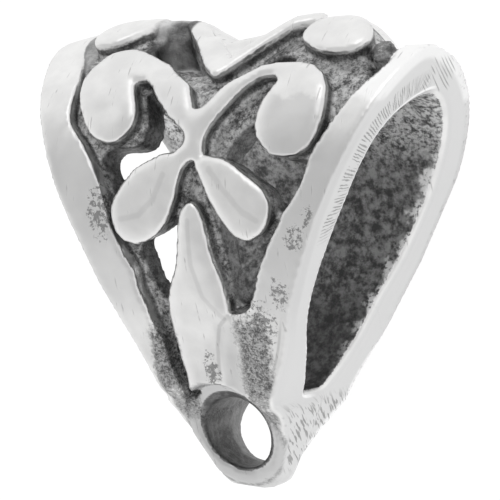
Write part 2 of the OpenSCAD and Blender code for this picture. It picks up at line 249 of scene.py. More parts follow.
FRONT_HOLES = [
    [[-2.74, -7.85], [-3.1, -7.45], [-3.38, -6.9], [-3.44, -6.45], [-3.05, -6.2], [-2.2, -6.1],
     [-1.9, -5.6], [-1.98, -4.95], [-2.24, -4.2], [-1.98, -4.06], [-1.56, -4.3], [-1.1, -4.8],
     [-0.62, -5.26], [-0.25, -5.55], [-0.1, -5.85], [-0.3, -6.3], [-0.9, -6.55], [-1.5, -6.9]],
    [[-0.42, -8.5], [-1.0, -8.85], [-1.8, -9.15], [-2.14, -9.6], [-1.98, -10.25], [-1.82, -10.8],
     [-1.5, -11.35], [-1.18, -11.45], [-0.95, -10.6], [-0.5, -9.6]],
    [[1.1, -6.9], [1.2, -6.35], [1.5, -5.8], [1.9, -5.35], [2.3, -5.4], [2.8, -6.0], [3.3, -6.4],
     [3.95, -6.45], [4.2, -6.8], [3.85, -7.55], [3.42, -8.1], [2.9, -8.0], [2.2, -7.7],
     [1.6, -7.3]],
    [[0.98, -8.6], [1.6, -8.6], [2.4, -8.8], [2.86, -9.0], [2.6, -9.5], [2.36, -9.98],
     [2.14, -10.5], [1.94, -10.9], [1.66, -11.24], [1.34, -11.34], [1.18, -11.0], [1.12, -10.3],
     [1.02, -9.4]],
]
RIDGE_HOLES = [
    [[-0.7, -3.0], [-1.6, -2.85], [-2.5, -2.5], [-3.0, -1.8], [-2.95, -0.95], [-2.45, -0.6],
     [-2.05, -0.8], [-1.6, -1.65]],
    [[1.2, -2.95], [2.0, -3.12], [2.6, -2.98], [2.62, -2.62], [2.2, -2.4], [1.55, -2.55]],
]
print("rows of the field:", len(FIELD), "holes:", len(FRONT_HOLES), "and", len(RIDGE_HOLES))


# %% [markdown]
# The grid needs to ask, for any place, which mark of a template is the nearest.
# So each template becomes a small helper mesh that holds only points,
# with the outward direction and the way along the line stored on them.

# %% Tools for helper meshes
MARK_STEP = 0.035
SIDE_ROUNDS, LEAF_ROUNDS = 6, 3
# An outline with more rows than this is dense enough to be used as it is
DENSE_ROWS = 60


def mark_mesh(name, lines, plane):
    """A mesh of marks; lines are (points, outward, way), plane puts a flat mark in space."""
    points = np.vstack([line[0] for line in lines])
    out = np.vstack([line[1] for line in lines])
    way = np.concatenate([line[2] for line in lines])
    mesh = bpy.data.meshes.new(name)
    mesh.from_pydata([plane(*p) for p in points], [], [])
    mesh.attributes.new("out", "FLOAT_VECTOR", "POINT").data.foreach_set(
        "vector", np.array([plane(*o) for o in out], np.float32).ravel()
    )
    mesh.attributes.new("way", "FLOAT", "POINT").data.foreach_set("value", way.astype(np.float32))
    piece = bpy.data.objects.new(name, mesh)
    bpy.context.scene.collection.objects.link(piece)
    print(name, len(points), "marks")
    return piece


def side_marks(name, rows, closed, zero_at=None):
    """Marks of a side outline, on the plane across the band's middle."""
    points, way = evenly(rows, MARK_STEP, closed)
    if closed:
        points = turned_right(points)
    points = softened(points, closed, SIDE_ROUNDS)
    if zero_at is not None:
        nearest = np.argmin(np.linalg.norm(points - np.array(zero_at), axis=1))
        way = way - way[nearest]
    return mark_mesh(name, [(points, outward(points, closed), way)], lambda y, z: (0.0, y, z))


def flat_marks(name, outlines, lifts=None):
    """Marks of leaves or holes on the unrolled front; way keeps how far each leaf is lifted."""
    lines = []
    for outline, lift in zip(outlines, lifts or [0.0] * len(outlines)):
        rows = outline if len(outline) > DENSE_ROWS else bent(outline, closed=True)
        points = turned_right(evenly(rows, MARK_STEP, True)[0])
        points = softened(points, True, LEAF_ROUNDS)
        lines.append((points, outward(points, True), np.full(len(points), lift)))
    return mark_mesh(name, lines, lambda x, s: (x, s, 0.0))


# %% [markdown]
# Leaves that touch go into different sheets, so that the nearest mark always belongs
# to the leaf in question. Each leaf may be lifted a little, or sunk, against its neighbours.

# %% Helper meshes of outline marks
FORK_LIFT, BAR_LIFT, STRIP_LIFT, KNOB_LIFT = 0.02, 0.05, -0.04, -0.28

rim_line = np.vstack([bent(RIM_SIDE), BACK_SIDE, BLOCK_SIDE])
rim_marks = side_marks("rim_marks", rim_line, True)
middle_marks = side_marks("middle_marks", bent(MIDDLE_SIDE), False, MIDDLE_SIDE[RIDGE_ROW])
loop_marks = side_marks("loop_marks", bent(LOOP_SIDE, closed=True), True)
leaf_marks = flat_marks(
    "leaf_marks",
    [FORK, SPADE, bar_outline(CURL_LEFT), RIDGE_OVAL_RIGHT],
    [FORK_LIFT, 0.0, BAR_LIFT, 0.0],
)
petal_marks = flat_marks(
    "petal_marks",
    [PETAL_RIGHT, STRIP, bar_outline(CURL_RIGHT), RIDGE_OVAL_LEFT, KNOB],
    [0.0, STRIP_LIFT, BAR_LIFT, 0.0, KNOB_LIFT],
)
hole_marks = flat_marks("hole_marks", FRONT_HOLES + RIDGE_HOLES)
field_marks = flat_marks("field_marks", [FIELD])


# %% [markdown]
# A node tree that is written out link by link is slow to read. One small class wraps a socket,
# so that an expression such as a - b * 2 adds its Math nodes by itself.

# %% Sockets that can be calculated with
def operator(operation, swap=False):
    """A method that adds one Math node with another value."""
    return lambda self, other: self.math(operation, other, swap=swap)


class Wire:
    """A socket of a node tree that takes part in sums."""

    def __init__(self, tree, socket):
        self.tree = tree
        self.socket = socket

    def math(self, operation, *others, swap=False):
        values = (*others, self) if swap else (self, *others)
        return self.tree.add("ShaderNodeMath", {"operation": operation}, dict(enumerate(values)))

    __add__ = __radd__ = operator("ADD")
    __mul__ = __rmul__ = operator("MULTIPLY")
    __sub__, __rsub__ = operator("SUBTRACT"), operator("SUBTRACT", swap=True)
    __truediv__, __rtruediv__ = operator("DIVIDE"), operator("DIVIDE", swap=True)
    __pow__ = operator("POWER")
    at_least = operator("MAXIMUM")
    at_most = operator("MINIMUM")

    def __neg__(self):
        return self.math("MULTIPLY", -1.0)

    def size(self):
        """The value without its sign."""
        return self.math("ABSOLUTE")

    def root(self):
        return self.math("SQRT")

    def ramp(self, start, end):
        """0 before start, 1 after end, and a soft S between them."""
        return self.tree.add(
            "ShaderNodeMapRange",
            {"interpolation_type": "SMOOTHSTEP"},
            {"Value": self, "From Min": start, "From Max": end},
        )


# %% [markdown]
# This class adds a node. Its settings come first, because they decide which sockets it has.

# %% Trees that nodes are added to
class Tree:
    """A node tree that nodes are added to in one call each."""

    def __init__(self, tree):
        self.tree = tree

    def add(self, kind, settings=None, inputs=None, out=0):
        """Adds a node: settings first, then sockets by name or number; returns one output."""
        node = self.tree.nodes.new(kind)
        for name, value in (settings or {}).items():
            setattr(node, name, value)
        for key, value in (inputs or {}).items():
            self.feed(node.inputs[key], value)
        return Wire(self, node.outputs[out])

    def more(self, wire, out):
        """Another output of the node that a wire comes from."""
        return Wire(self, wire.socket.node.outputs[out])

    def at(self, a, b, c):
        """A vector of three values."""
        return self.add("ShaderNodeCombineXYZ", None, {0: a, 1: b, 2: c})

    def parts(self, vector):
        """The three values of a vector."""
        first = self.add("ShaderNodeSeparateXYZ", None, {0: vector})
        return first, self.more(first, 1), self.more(first, 2)

    def noise(self, vector, scale, detail, rough=0.5):
        return self.add(
            "ShaderNodeTexNoise",
            {"noise_dimensions": "3D"},
            {"Vector": vector, "Scale": scale, "Detail": detail, "Roughness": rough},
        )

    def feed(self, socket, value):
        if isinstance(value, Wire):
            self.tree.links.new(value.socket, socket)
        else:
            socket.default_value = value

    def tell(self, step):
        """Prints how many nodes the tree has after a step."""
        print(step + ":", len(self.tree.nodes), "nodes")


# %% [markdown]
# The tree of the bail starts with its named sizes. The ground drop is how far the pierced ground
# lies under the rims, and the crown is how high a broad leaf swells over them.
# Joining two forms takes the smaller distance, cutting one out of another takes the larger one,
# and the soft versions of both leave the small fillets of a casting.

# %% The bail's tree and its sizes
form_tree = bpy.data.node_groups.new("bail_form", "GeometryNodeTree")
form_tree.interface.new_socket("Geometry", in_out="INPUT", socket_type="NodeSocketGeometry")
form_tree.interface.new_socket("Geometry", in_out="OUTPUT", socket_type="NodeSocketGeometry")
INPUT_SIZES = {
    "Grid step": 0.097,
    "Ground drop": 0.55,
    "Crown": 0.07,
    "Eye radius": 1.175,
    "Casting unevenness": 0.02,
}
for label, size in INPUT_SIZES.items():
    item = form_tree.interface.new_socket(label, in_out="INPUT", socket_type="NodeSocketFloat")
    item.default_value = size
form = Tree(form_tree)
group_in = form_tree.nodes.new("NodeGroupInput")
given = {label: Wire(form, group_in.outputs[label]) for label in INPUT_SIZES}
print("sizes of the tree in mm:", INPUT_SIZES)


def smaller(a, b, soft):
    """Two forms as one, with a fillet."""
    return form.add("ShaderNodeMath", {"operation": "SMOOTH_MIN"}, {0: a, 1: b, 2: soft})


def larger(a, b, soft):
    """What two forms share, with a soft edge."""
    return form.add("ShaderNodeMath", {"operation": "SMOOTH_MAX"}, {0: a, 1: b, 2: soft})


def vectors(operation, a, b, out=0):
    return form.add("ShaderNodeVectorMath", {"operation": operation}, {0: a, 1: b}, out)


# %% [markdown]
# For every place on the grid the tree looks up the nearest mark of a template.
# How far the place lies along the mark's outward direction is the distance to the outline,
# which is negative inside the metal.

# %% Distances to the templates
def nearest_mark(marks, place):
    """Distance to an outline, negative in the metal, and the way along it."""
    source = form.add("GeometryNodeObjectInfo", {"transform_space": "ORIGINAL"}, {"Object": marks})
    geometry = form.more(source, "Geometry")
    index = form.add(
        "GeometryNodeSampleNearest",
        {"domain": "POINT"},
        {"Geometry": geometry, "Sample Position": place},
    )

    def at_mark(kind, value):
        return form.add(
            "GeometryNodeSampleIndex",
            {"data_type": kind, "domain": "POINT"},
            {"Geometry": geometry, "Value": value, "Index": index},
        )

    def stored(kind, name):
        return form.add("GeometryNodeInputNamedAttribute", {"data_type": kind}, {"Name": name})

    mark = at_mark("FLOAT_VECTOR", form.add("GeometryNodeInputPosition"))
    out = at_mark("FLOAT_VECTOR", stored("FLOAT_VECTOR", "out"))
    way = at_mark("FLOAT", stored("FLOAT", "way"))
    apart = vectors("SUBTRACT", place, mark)
    return vectors("DOT_PRODUCT", apart, out, "Value"), way


place = form.add("GeometryNodeInputPosition")
x, y, z = form.parts(place)
across = x.size()
on_side = form.at(0.0, y, z)
from_rim, way_round = nearest_mark(rim_marks, on_side)
from_middle, way_along = nearest_mark(middle_marks, on_side)
from_loop = nearest_mark(loop_marks, on_side)[0]
unrolled = form.at(x, way_along, 0.0)
from_leaf, leaf_lift = nearest_mark(leaf_marks, unrolled)
from_petal, petal_lift = nearest_mark(petal_marks, unrolled)
from_hole = nearest_mark(hole_marks, unrolled)[0]
from_field = nearest_mark(field_marks, unrolled)[0]
form.tell("distances to the templates")

# %% [markdown]
# A casting is never quite even. One slow noise bends the polished forms a little,
# and one fine noise roughens the sunk ground, which no wheel ever reached.

# %% Unevenness of the casting
ROUGH_DEPTH = 0.10

uneven = given["Casting unevenness"] * (form.noise(place, 0.8, 1.0) - 0.5) * 2.0
rough_skin = (form.noise(place, 3.5, 2.0) - 0.5) * ROUGH_DEPTH

# %% [markdown]
# The two side faces were filed true, so they are plain slopes that lean apart as they rise.
# The lower band is a little wider than that, and the foot is a wedge of its own.

# %% Side faces and foot
SIDE_TIP, SIDE_TAPER = 0.534, 0.455
LOW_WIDTH, LOW_FROM_Z, LOW_FULL_Z, LEFT_HIGHER = 0.14, 6.4, 4.6, 1.8
LEFT_LEAN, RIGHT_LEAN = 0.865, 0.968
FOOT_TOP_Z, FOOT_BOTTOM_Z = 3.1, 0.02


def sloped(start, rise):
    """A half width that grows with the height."""
    return start + rise * z


low_width = LOW_WIDTH * (z - LEFT_HIGHER * x.ramp(0.0, -0.5)).ramp(LOW_FROM_Z, LOW_FULL_Z)
side_lean = math.cos(math.atan(SIDE_TAPER))
from_taper = (across - sloped(SIDE_TIP, SIDE_TAPER) - low_width) * side_lean
left_edge = sloped(0.82, 0.56).at_most(sloped(1.42, 0.28))
foot_left = (-x - left_edge) * LEFT_LEAN - 0.12 * y.ramp(0.2, 1.2)
foot_right = (x - sloped(1.05, 0.42)) * RIGHT_LEAN + 0.42 * y.ramp(0.1, 1.3)
from_foot = larger(larger(foot_left, foot_right, 0.1), FOOT_BOTTOM_Z - z, 0.6)
from_side = smaller(from_taper, larger(from_foot, z - FOOT_TOP_Z, 0.7), 0.15)
form.tell("side faces and foot")

# %% [markdown]
# The band is the side outline between the two side faces. Its front ground is sunk
# between the rims and ends above the block. A shallow cleft parts the ridge over it,
# which is what makes the front a heart.

# %% Band with its sunk ground
FIELD_BACK_Y, FIELD_SHORTER_RIGHT, FIELD_LOW_Z = 2.2, 1.8, 2.95
CLEFT_DEPTH, CLEFT_X, CLEFT_S = 0.50, -0.3, -1.7
CLEFT_HALF_W, CLEFT_REACH = 2.4, 2.4


def fade(value, reach):
    """1 in the middle, and down to 0 at the reach on either side."""
    return (1.0 - (value / reach) ** 2.0).at_least(0.0)


cleft = CLEFT_DEPTH * fade(x - CLEFT_X, CLEFT_HALF_W) * fade(way_along - CLEFT_S, CLEFT_REACH)
above_middle = from_middle + cleft
field_end = FIELD_BACK_Y - FIELD_SHORTER_RIGHT * x.ramp(4.6, 5.1)
under_ground = -(from_rim + given["Ground drop"] + rough_skin)
sunk = larger(larger(from_field, under_ground, 0.08), y - field_end, 0.1)
sunk = larger(sunk, FIELD_LOW_Z - z, 0.2)
band = larger(larger(from_rim, from_side, 0.22), -sunk, 0.10)
form.tell("band")

# %% [markdown]
# The heart-shaped ridge rises over the band. Its top climbs on either side of the notch,
# and its shoulders bend down to the rims. Between the curled bars a hump of ground
# stays at full height, and on the left the ridge ends in a plain shoulder.

# %% Heart-shaped ridge
RIDGE_TOP_Z, RIDGE_LOW_Z = 15.1, 9.0
NOTCH_X, NOTCH_Z = -1.2, 14.24
RISE_RIGHT, RISE_LEFT = 0.18, 0.85
BEND_RIGHT_X, BEND_LEFT_X = 3.05, 3.9
LEAF_OVER_RIDGE = 0.2
HUMP_X = -2.65
SHOULDER_X = -5.7

to_right = (x - NOTCH_X).at_least(0.0)
to_left = (NOTCH_X - x).at_least(0.0)
heart_top = (NOTCH_Z + RISE_RIGHT * to_right + RISE_LEFT * to_left).at_most(RIDGE_TOP_Z)
leaf_top = heart_top + LEAF_OVER_RIDGE
beyond_right = (x - BEND_RIGHT_X).at_least(0.0)
beyond_left = (-x - BEND_LEFT_X).at_least(0.0)
heart_top = heart_top - 0.36 * beyond_right * beyond_right - 0.09 * beyond_left * beyond_left
shoulder = (beyond_right + beyond_left).at_most(1.0)
heart_top = heart_top - 0.7 * (y - 0.5).at_least(0.0) * shoulder
to_crest = way_along.ramp(-1.1, -0.2)
on_hump = (x - HUMP_X).size().ramp(0.85, 0.45) * way_along.ramp(-1.3, -0.7)
drop = (given["Ground drop"] - 0.42 * to_crest) * (1.0 - on_hump)
raised = larger(above_middle + drop + rough_skin * (1.0 - to_crest), z - heart_top, 0.25)
raised = larger(larger(raised, from_field - 0.05, 0.1), RIDGE_LOW_Z - z, 0.1)
solid = smaller(band, raised, 0.12)
left_shoulder = larger(from_middle + 0.35, z - heart_top, 0.25)
left_shoulder = larger(left_shoulder, larger(from_side, x - SHOULDER_X, 0.2), 0.22)
solid = smaller(solid, left_shoulder, 0.12)
form.tell("ridge")

# %% [markdown]
# The loop for the cord goes through from side to side. Above it the casting is hollowed further,
# under the ridge, which saves silver and keeps the wall even.
# The loop's edges are broken with a small bevel, which shows as a bright line in the photo.

# %% Loop for the cord
WALL, RIDGE_WALL = 1.7, 1.1
ROOM_FROM_Z = 9.6
LOOP_BEVEL = 0.13
DIAGONAL = 0.7071

inner_room = larger(larger(from_middle + WALL, from_field + 0.15, 0.2), ROOM_FROM_Z - z, 0.3)
inner_room = larger(inner_room, z - (heart_top - RIDGE_WALL), 0.2)
opening = smaller(from_loop, inner_room, 0.25) + rough_skin * 0.6
solid = larger(solid, -opening, 0.08)
solid = larger(solid, (from_side - from_loop) * DIAGONAL + LOOP_BEVEL, 0.03)
form.tell("loop")

# %% [markdown]
# The holes between the scrolls pierce the front wall alone,
# so their cut stays near the wall and never reaches the back of the loop.

# %% Holes in the front
HOLE_REACH, HOLE_PAST_LOOP = 2.4, 3.2

in_wall = larger(from_middle.size() - HOLE_REACH, from_hole + rough_skin * 0.7, 0.05)
in_wall = larger(in_wall, from_loop - HOLE_PAST_LOOP, 0.1)
solid = larger(solid, -in_wall, 0.10)

# %% [markdown]
# The scrolls stand on the ground like leaves of wax that were pressed on.
# Their height follows the distance from their own edge, as a quarter of an ellipse does,
# so that a broad lobe swells more than a narrow bar.

# %% Scrolls, petals and spade
LEAF_EDGE = -0.07
LEAF_BROAD = 0.50
LEAF_FOOT = 1.0
LEAF_END_Z = 3.05


def leaf(from_edge, lift):
    """A domed leaf on the band, from the distance to its outline."""
    part = (-from_edge / LEAF_BROAD).at_least(0.0).at_most(1.0)
    swell = (part * (2.0 - part)).root()
    top = LEAF_EDGE + lift + (given["Crown"] - LEAF_EDGE) * swell
    dome = larger(above_middle - top, from_edge, 0.07)
    return larger(dome, -(above_middle + LEAF_FOOT), 0.05)


leaves = smaller(leaf(from_leaf, leaf_lift), leaf(from_petal, petal_lift), 0.06)
leaves = larger(larger(leaves, LEAF_END_Z - z, 0.1), z - leaf_top, 0.15)
solid = smaller(solid, leaves + uneven, 0.08)
form.tell("scrolls")

# %% [markdown]
# A round ring stands on the leaning front of the block, like a washer round the eye's mouth.
# A shallow seat is cut for it first, so that it stays round where the scrolls come down to it.

# %% Ring round the eye
EYE_Z = 1.85
RING_RADIUS, RING_BACK_Y = 1.70, -0.6
SEAT_ROOM, SEAT_TOP_Z = 0.04, 5.0
FACE_Y, FACE_LEAN = -1.40, 0.375

from_axis = (x * x + (z - EYE_Z) ** 2.0).root()
from_face = (y - (FACE_Y - FACE_LEAN * (z - EYE_Z))) * math.cos(math.atan(FACE_LEAN))
seat = larger(larger(from_axis - (RING_RADIUS + SEAT_ROOM), from_face, 0.03), z - SEAT_TOP_Z, 0.03)
solid = larger(solid, -seat, 0.05)
ring = larger(larger(from_axis - RING_RADIUS, -from_face, 0.09), y - RING_BACK_Y, 0.03)
solid = smaller(solid, ring, 0.05)

# %% [markdown]
# The eye is drilled last, and its mouth is worn a little wider. The patch of light in the photo
# lies further to the left than a straight hole would show it,
# so the hole drifts to the left and slightly down on its way to the back.

# %% Drilled eye
MOUTH_X, MOUTH_HIGHER, MOUTH_RADIUS = 0.10, 0.14, 1.08
FLARE, FLARE_DEPTH, FLARE_MOST = 0.33, 0.4, 1.3
DRIFT_FROM_Y, DRIFT_LEFT, DRIFT_DOWN = 0.2, 0.36, 0.14

flare = (1.0 - from_face / FLARE_DEPTH).at_least(0.0).at_most(FLARE_MOST)
off_mouth = (x - MOUTH_X) ** 2.0 + (z - EYE_Z - MOUTH_HIGHER) ** 2.0
from_mouth = off_mouth.root() - MOUTH_RADIUS - FLARE * flare * flare
further_in = (y - DRIFT_FROM_Y).at_least(0.0)
drift_x = x + DRIFT_LEFT * further_in
drift_z = z - EYE_Z + DRIFT_DOWN * further_in
from_drift = (drift_x * drift_x + drift_z * drift_z).root() - given["Eye radius"]
bore = smaller(smaller(from_axis - given["Eye radius"], from_mouth, 0.05), from_drift, 0.03)
solid = larger(solid, -bore, 0.06 + 0.20 * y.ramp(0.0, 0.6))
form.tell("eye")

# %% [markdown]
# The last cuts are the ones a file and a flat stone leave: a narrow bevel on the foot's
# back edges, and flats at the widest sides, the tip and the back that the bail lies on.

# %% Bevel and flats
FOOT_BEVEL = 0.12
HALF_WIDTH, FLAT_ROOM = 6.82, 0.01

on_foot_back = FOOT_BEVEL * z.ramp(4.6, 3.4) * y.ramp(-0.4, 0.4)
foot_bevel = (from_side + from_rim) * DIAGONAL + on_foot_back
solid = larger(solid, foot_bevel, 0.05) + uneven * 0.6
flats = larger(larger(across - HALF_WIDTH, y - BACK_Y + FLAT_ROOM, 0.02), FLAT_ROOM - z, 0.02)
solid = larger(solid, flats, 0.02)

# %% [markdown]
# The distance is worked out on a grid that is just larger than the bail.
# A volume is full where its density is above zero, so the density is the distance turned round.
# Half the grid step would draw finer edges, with four times as many triangles.

# %% From distance to surface
GRID_LOW = (-7.2, -4.6, -0.3)
GRID_HIGH = (7.2, 4.6, 15.5)


def grid_points(k):
    """How many grid points fit along one axis at the given step."""
    return ((GRID_HIGH[k] - GRID_LOW[k]) / given["Grid step"]).math("FLOOR")


grid_inputs = {"Density": -solid, "Background": -1.0, "Min": GRID_LOW, "Max": GRID_HIGH}
for k, axis in enumerate("XYZ"):
    grid_inputs["Resolution " + axis] = grid_points(k)
grid = form.add("GeometryNodeVolumeCube", None, grid_inputs)
skin = {"Volume": grid, "Threshold": 0.0, "Adaptivity": 0.0}
surface = form.add("GeometryNodeVolumeToMesh", {"resolution_mode": "GRID"}, skin)
print("grid box in mm:", GRID_LOW, "to", GRID_HIGH)

# %% [markdown]
# The surface keeps notes for the finish, each a number at every point: how deep the point
# lies under the polished level, whether it is in the loop, the bore or a hole, how far
# it is from the sides, the rim and the loop's edge, and where it is on the unrolled front.

# %% Notes for the finish
CREASE_RADIUS, RING_PAINT_RADIUS = 1.75, 1.80

in_field = from_field.ramp(0.10, -0.10) * (y - FIELD_BACK_Y).ramp(0.3, -0.3)
below_top = in_field * -above_middle
ring_clear = (from_axis - RING_RADIUS).ramp(0.0, 0.12).at_least(z.ramp(3.6, 3.9))
ring_clear = ring_clear * z.ramp(2.8, 3.1)
behind_crest = way_along.ramp(-0.35, 0.1)
over_bar = way_along + 0.72 + 0.40 * (2.9 - x).at_least(0.0) ** 2.0
in_notch = (x + 1.5).ramp(-0.3, 0.3) * over_bar.ramp(-0.05, 0.15) * way_along.ramp(-2.3, -1.7)
in_notch = in_notch * (3.0 - x).ramp(-0.2, 0.2)
bright_crest = behind_crest.at_least(in_notch)
from_crease = (from_axis - CREASE_RADIUS).size()
stored_notes = {
    "depth": below_top.at_least(0.0) * (1.0 - bright_crest) * ring_clear,
    "inside": opening.ramp(0.06, 0.0),
    "side": from_side,
    "round": way_round,
    "rim": from_rim,
    "bore": bore.ramp(0.12, 0.05) * from_face.ramp(0.01, 0.06) * (4.2 - z).ramp(0.0, 0.5),
    "leaf": smaller(from_leaf, from_petal, 0.01),
    "hole": in_wall.ramp(0.12, 0.02),
    "loop": from_loop,
    "bevel": foot_bevel.ramp(-0.22, -0.08) * z.ramp(4.8, 4.2) * y.ramp(-0.3, 0.3),
    "ring": (from_axis - RING_PAINT_RADIUS).ramp(0.05, -0.03) * from_face.ramp(0.30, 0.20),
    "crease": from_crease.ramp(0.07, 0.02) * from_face.ramp(0.35, 0.2),
    "across": x,
    "along": way_along,
}
for name, value in stored_notes.items():
    surface = form.add(
        "GeometryNodeStoreNamedAttribute",
        {"data_type": "FLOAT", "domain": "POINT"},
        {"Geometry": surface, "Name": name, "Value": value},
    )
print("notes on the surface:", ", ".join(stored_notes))

# %% [markdown]
# The standing bail is laid on its back and brought from millimetres to metres.
# The tree ends by making its instances real and giving the surface its material.

# %% Lay it down and give it its metal
laid = form.at(x, z - HALF_HEIGHT, BACK_Y - y)
laid = form.add("ShaderNodeVectorMath", {"operation": "SCALE"}, {0: laid, "Scale": MM})
surface = form.add("GeometryNodeSetPosition", None, {"Geometry": surface, "Position": laid})
surface = form.add("GeometryNodeSetShadeSmooth", None, {"Geometry": surface})
surface = form.add("GeometryNodeRealizeInstances", None, {"Geometry": surface})
silver = bpy.data.materials.new("oxidised_silver")
silver.use_nodes = True
surface = form.add("GeometryNodeSetMaterial", None, {"Geometry": surface, "Material": silver})
group_out = form_tree.nodes.new("NodeGroupOutput")
form_tree.links.new(surface.socket, group_out.inputs[0])
form.tell("the bail's tree")

# %% [markdown]
# A modifier on an empty carrier runs the tree once, and the result is kept as a plain mesh.
# The carrier and the helper meshes have done their work then, and are removed.

# %% The plain mesh of the bail
carrier = bpy.data.objects.new("bail_carrier", bpy.data.meshes.new("bail_carrier"))
bpy.context.scene.collection.objects.link(carrier)
modifier = carrier.modifiers.new("bail_form", "NODES")
modifier.node_group = form_tree
for item in form_tree.interface.items_tree:
    if item.in_out == "INPUT" and item.name in INPUT_SIZES:
        modifier[item.identifier] = INPUT_SIZES[item.name]
depsgraph = bpy.context.evaluated_depsgraph_get()
bail_mesh = bpy.data.meshes.new_from_object(carrier.evaluated_get(depsgraph))
bail_mesh.name = "bail_casting"
bail = bpy.data.objects.new("bail_casting", bail_mesh)
bpy.context.scene.collection.objects.link(bail)
carrier.modifiers.clear()
helpers = [carrier, rim_marks, middle_marks, loop_marks, leaf_marks, petal_marks]
for helper in helpers + [hole_marks, field_marks]:
    bpy.data.objects.remove(helper)
print("bail:", len(bail_mesh.vertices), "points,", len(bail_mesh.polygons), "faces")

# %% [markdown]
# One casting is one closed skin. Noise can leave a crumb of surface beside it,
# so the points are grouped by what they hang together with, and the largest group stays.

# %% One closed skin
import bmesh


def connected(start, seen):
    """All the points that hang together with the start."""
    group, queue = [], [start]
    seen.add(start)
    while queue:
        point = queue.pop()
        group.append(point)
        for edge in point.link_edges:
            other = edge.other_vert(point)
            if other not in seen:
                seen.add(other)
                queue.append(other)
    return group


work = bmesh.new()
work.from_mesh(bail_mesh)
bmesh.ops.remove_doubles(work, verts=work.verts, dist=1e-7)
if work.calc_volume(signed=True) < 0:
    bmesh.ops.reverse_faces(work, faces=work.faces)
seen = set()
islands = [connected(point, seen) for point in work.verts if point not in seen]
islands.sort(key=len, reverse=True)
for crumb in islands[1:]:
    bmesh.ops.delete(work, geom=crumb, context="VERTS")
open_edges = sum(1 for edge in work.edges if len(edge.link_faces) != 2)
volume = round(work.calc_volume() / MM ** 3, 1)
print("islands", [len(g) for g in islands][:6], "open edges", open_edges, "volume mm3", volume)
work.to_mesh(bail_mesh)
work.free()

# %% [markdown]
# Oxidised silver is two finishes on one metal: bright where the wheel touched it,
# and black where the stain stayed in the recesses. Both are drawn from the notes on the surface
# and from noise in object coordinates, in millimetres, so that a pit keeps its real size.

# %% Tools for the finish
bail_mesh.materials.clear()
bail_mesh.materials.append(silver)
silver.node_tree.nodes.clear()
paint = Tree(silver.node_tree)


def note(name):
    kind = {"attribute_type": "GEOMETRY", "attribute_name": name}
    return paint.add("ShaderNodeAttribute", kind, out="Fac")


object_place = paint.add("ShaderNodeTexCoord", out="Object")
in_mm = paint.add("ShaderNodeVectorMath", {"operation": "SCALE"}, {0: object_place, "Scale": 1 / MM})


def noise(scale, detail=2.0, rough=0.5):
    return paint.noise(in_mm, scale, detail, rough)


def stretched(a, b, c, detail=1.0):
    """Noise over three values of the surface, which draws it out along one of them."""
    return paint.noise(paint.at(a, b, c), 1.0, detail)


def grey(tone):
    return (tone, tone, tone, 1.0)


def blend(factor, a, b):
    node = paint.tree.nodes.new("ShaderNodeMix")
    node.data_type = "RGBA"
    for slot, value in ((0, factor), (6, a), (7, b)):
        paint.feed(node.inputs[slot], value)
    return Wire(paint, node.outputs[2])


def zone(value, low, high, soft):
    """1 where a value lies between low and high, with soft borders."""
    return value.ramp(low - soft, low + soft) * value.ramp(high + soft, high - soft)


# %% [markdown]
# Some marks sit at one place of the unrolled front: a patch of pits, or the fold in a petal.
# A spot is round, and a drawn line follows a few points.

# %% Notes, spots and drawn lines
depth, side, inside, round_way = [note(name) for name in ("depth", "side", "inside", "round")]
rim_depth, loop_way = note("rim"), note("loop")
across_way, along_way = note("across"), note("along")
part_y, part_z = paint.parts(in_mm)[1:]


def spot(px, ps, half_w, half_s):
    """1 at a place on the unrolled front, and down to 0 at its half sizes."""
    off = ((across_way - px) / half_w) ** 2.0 + ((along_way - ps) / half_s) ** 2.0
    return (1.0 - off).at_least(0.0)


def drawn(points, width):
    """1 on a broken line on the unrolled front, and down to 0 at its width."""
    nearest = None
    for (ax, ay), (bx, by) in zip(points, points[1:]):
        step_x, step_s = bx - ax, by - ay
        off_x, off_s = across_way - ax, along_way - ay
        part = (off_x * step_x + off_s * step_s) / (step_x ** 2 + step_s ** 2)
        part = part.at_least(0.0).at_most(1.0)
        gap_x, gap_s = off_x - part * step_x, off_s - part * step_s
        gap = (gap_x * gap_x + gap_s * gap_s).root()
        nearest = gap if nearest is None else nearest.at_most(gap)
    return nearest.ramp(width, width * 0.3)


# %% [markdown]
# The bath blackens everything, and the wheel then cleans what it can reach.
# So the stain stays on the sunk ground, in the holes, in the loop and the bore,
# on the hump between the curls, and in the crease round the ring.

# %% Where the stain stayed
cloud = noise(2.0, 3.0)
slow = noise(0.55, 2.0)
grain = noise(8.0, 3.0, 0.65)
speck = noise(20.0, 2.0, 0.6)
ragged = (grain - 0.5) * 1.2 + (cloud - 0.5) * 0.8

sunk_mask = (depth + (grain - 0.5) * 0.16 + (cloud - 0.5) * 0.08).ramp(0.12, 0.24)
hole_mask = note("hole") * depth.ramp(0.2, 0.4)
inside_mask = (inside + (cloud - 0.5) * 0.15).ramp(0.30, 0.62)
bore_mask = (note("bore") + (cloud - 0.5) * 0.4).ramp(0.4, 0.7)
hump_mask = zone(across_way, -3.28, -1.95, 0.08)
hump_mask = hump_mask * zone(along_way - ragged * 0.5, -2.6, 0.1, 0.15)
stain = sunk_mask.at_least(hole_mask).at_least(inside_mask)
stain = stain.at_least(bore_mask * 0.85).at_least(hump_mask)
stain = stain.at_least(note("crease") * (grain + 0.25).at_most(0.9))
paint.tell("stain")

# %% [markdown]
# The rims have patches of small pits, and beside the strip the skin of the casting
# is left grainy down to the ring. Both were measured off the photo as places on the front.

